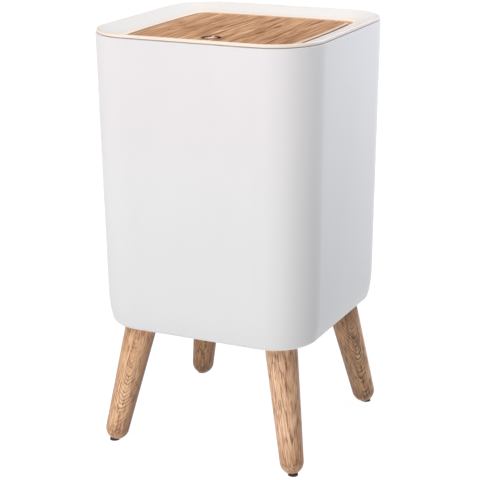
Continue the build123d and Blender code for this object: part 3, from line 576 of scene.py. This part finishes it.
# the ring is darkest round its back and sides and worn paler in front
worn = mark.maprange(my, -0.0035, -0.0065)
m_col = mark.mix(mark.maprange(md, 0.0032, 0.0036), centre, field)
# one pale break in the ring, towards the back
turn_ = mark.math("ABSOLUTE", mark.math("SUBTRACT", mark.math("ARCTAN2", my, mx), 1.75))
ring_col = mark.mix(mark.maprange(turn_, 0.24, 0.16), mark.mix(worn, dark_, pale_), centre)
m_col = mark.mix(mark.maprange(md, 0.0062, 0.0066), m_col, ring_col)
mark.set(Specular_IOR_Level=0.15)
mark.color(m_col)
mark.rough(mark.maprange(mn, 0.3, 0.7, 0.62, 0.78))
mark.normal(mark.bump(mn, dist=0.00004, strength=0.5))

ASSIGN = {
    "body_shell": shell_white, "cover_frame": cover_cream, "lid_tray": lid_cream, "lid_liner": liner_cream,
    "lid_wood_panel": lid_wood, "push_mark": mark,
    "leg_inserts": brass, "leg_studs": steel, "latch_screws": steel, "damper_screws": steel, "lid_liner_screws": steel,
    "strike_screws": steel, "strike_plate": steel, "hinge_pin_left": steel, "hinge_pin_right": steel,
    "latch_spring": spring_steel, "hinge_spring_left": spring_steel, "hinge_spring_right": spring_steel,
    "latch_housing": latch_grey, "latch_cap": latch_grey, "latch_plunger": latch_grey, "latch_magnet": magnet,
    "damper_housing": damper_dark, "damper_cap": damper_dark, "damper_rotor": damper_dark,
}
for n in ("front_left", "front_right", "rear_left", "rear_right"):
    ASSIGN["foot_pad_" + n] = pad_rubber
ASSIGN.update(leg_woods)
for name, obj in nodes.items():
    obj.data.materials.clear()
    obj.data.materials.append(ASSIGN[name].m)


def latch_coil():
    """The latch spring, which on the bin shortens as the plunger goes down on it: here a copy of the node's own coil,
    on a mesh of its own, attached to the cover, with the node hidden.
    """
    ob = bpy.data.objects.new("latch_coil", nodes["latch_spring"].data.copy())
    scene.collection.objects.link(ob)
    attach(ob, "cover")
    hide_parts("latch_spring")
    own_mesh(ob)


latch_coil()


# ---------------------------------------------------------------------------
# Floor and light
# ---------------------------------------------------------------------------
STRENGTH = {"key": 0.85, "key_high": 1.55, "fill": 1.15, "fill_box": 2.8, "over": 0.16, "sky": 0.04, "table": 0.955}


def make_floor():
    me = bpy.data.meshes.new("floor")
    s = 60.0
    me.from_pydata([(-s, -s, 0), (s, -s, 0), (s, s, 0), (-s, s, 0)], [], [(0, 1, 2, 3)])
    ob = bpy.data.objects.new("floor", me)
    scene.collection.objects.link(ob)
    m = Mat("floor_pale")
    n = m.noise(m.coord, scale=3.0, detail=3.0)
    m.color(m.mix(n, lin(92, 92, 92), lin(86, 86, 86)))
    m.rough(m.maprange(n, 0.3, 0.7, 0.75, 0.85))
    m.bsdf.inputs["Emission Color"].default_value = (1, 1, 1, 1)
    m.bsdf.inputs["Emission Strength"].default_value = STRENGTH["table"]
    me.materials.append(m.m)


make_floor()


def make_backdrop():
    """A low pale wall far off all round, so that a low view doesn't end in a dark horizon. It casts and lights nothing."""
    n, r, h = 96, 20.0, 6.0
    ring = [(r * math.cos(2 * math.pi * k / n), r * math.sin(2 * math.pi * k / n)) for k in range(n)]
    me = bpy.data.meshes.new("backdrop")
    me.from_pydata([(x, y, 0.0) for x, y in ring] + [(x, y, h) for x, y in ring], [],
                   [(k, (k + 1) % n, n + (k + 1) % n, n + k) for k in range(n)])
    ob = bpy.data.objects.new("backdrop", me)
    scene.collection.objects.link(ob)
    m = Mat("backdrop_pale")
    m.color(m.mix(m.noise(m.coord, scale=0.4, detail=3.0), lin(92, 92, 92), lin(86, 86, 86)))
    m.bsdf.inputs["Emission Color"].default_value = (1, 1, 1, 1)
    m.bsdf.inputs["Emission Strength"].default_value = 1.05
    me.materials.append(m.m)
    for ray in ("visible_diffuse", "visible_glossy", "visible_transmission", "visible_volume_scatter", "visible_shadow"):
        setattr(ob, ray, False)


make_backdrop()


def place(data, name, d, at=None):
    ob = bpy.data.objects.new(name, data)
    ob.rotation_mode = "QUATERNION"
    ob.rotation_quaternion = d.to_track_quat("Z", "Y")
    if at is not None:
        ob.location = at
    scene.collection.objects.link(ob)
    return ob


def sun(name, azimuth, elevation, angle, color=(1, 1, 1)):
    """A soft sun standing at that azimuth (0 is straight in front of the bin, 90 on its right) and elevation."""
    a, e = math.radians(azimuth), math.radians(elevation)
    d = Vector((math.sin(a) * math.cos(e), -math.cos(a) * math.cos(e), math.sin(e)))
    data = bpy.data.lights.new(name, "SUN")
    data.energy = STRENGTH[name]
    data.angle = math.radians(angle)
    data.color = color
    place(data, name, d)


def softbox(name, azimuth, dist, height, size, color=(1, 1, 1), aim=0.26):
    a = math.radians(azimuth)
    at = Vector((math.sin(a) * dist, -math.cos(a) * dist, height))
    data = bpy.data.lights.new(name, "AREA")
    data.energy = STRENGTH[name]
    data.size = size
    data.color = color
    ob = place(data, name, at - Vector((0, 0, aim)), at)
    ob.visible_camera = False


sun("key", -25.0, 45.0, 30.0)
sun("key_high", -10.0, 55.0, 36.0)
sun("fill", 160.0, 30.0, 36.0, (0.88, 0.91, 1.0))
sun("over", 0.0, 88.0, 40.0)
softbox("fill_box", 135.0, 0.72, 0.92, 0.4, (0.80, 0.86, 1.0), aim=0.34)

world = bpy.data.worlds.new("world")
scene.world = world
world.use_nodes = True
bg = world.node_tree.nodes["Background"]
bg.inputs["Color"].default_value = (1, 1, 1, 1)
bg.inputs["Strength"].default_value = STRENGTH["sky"]
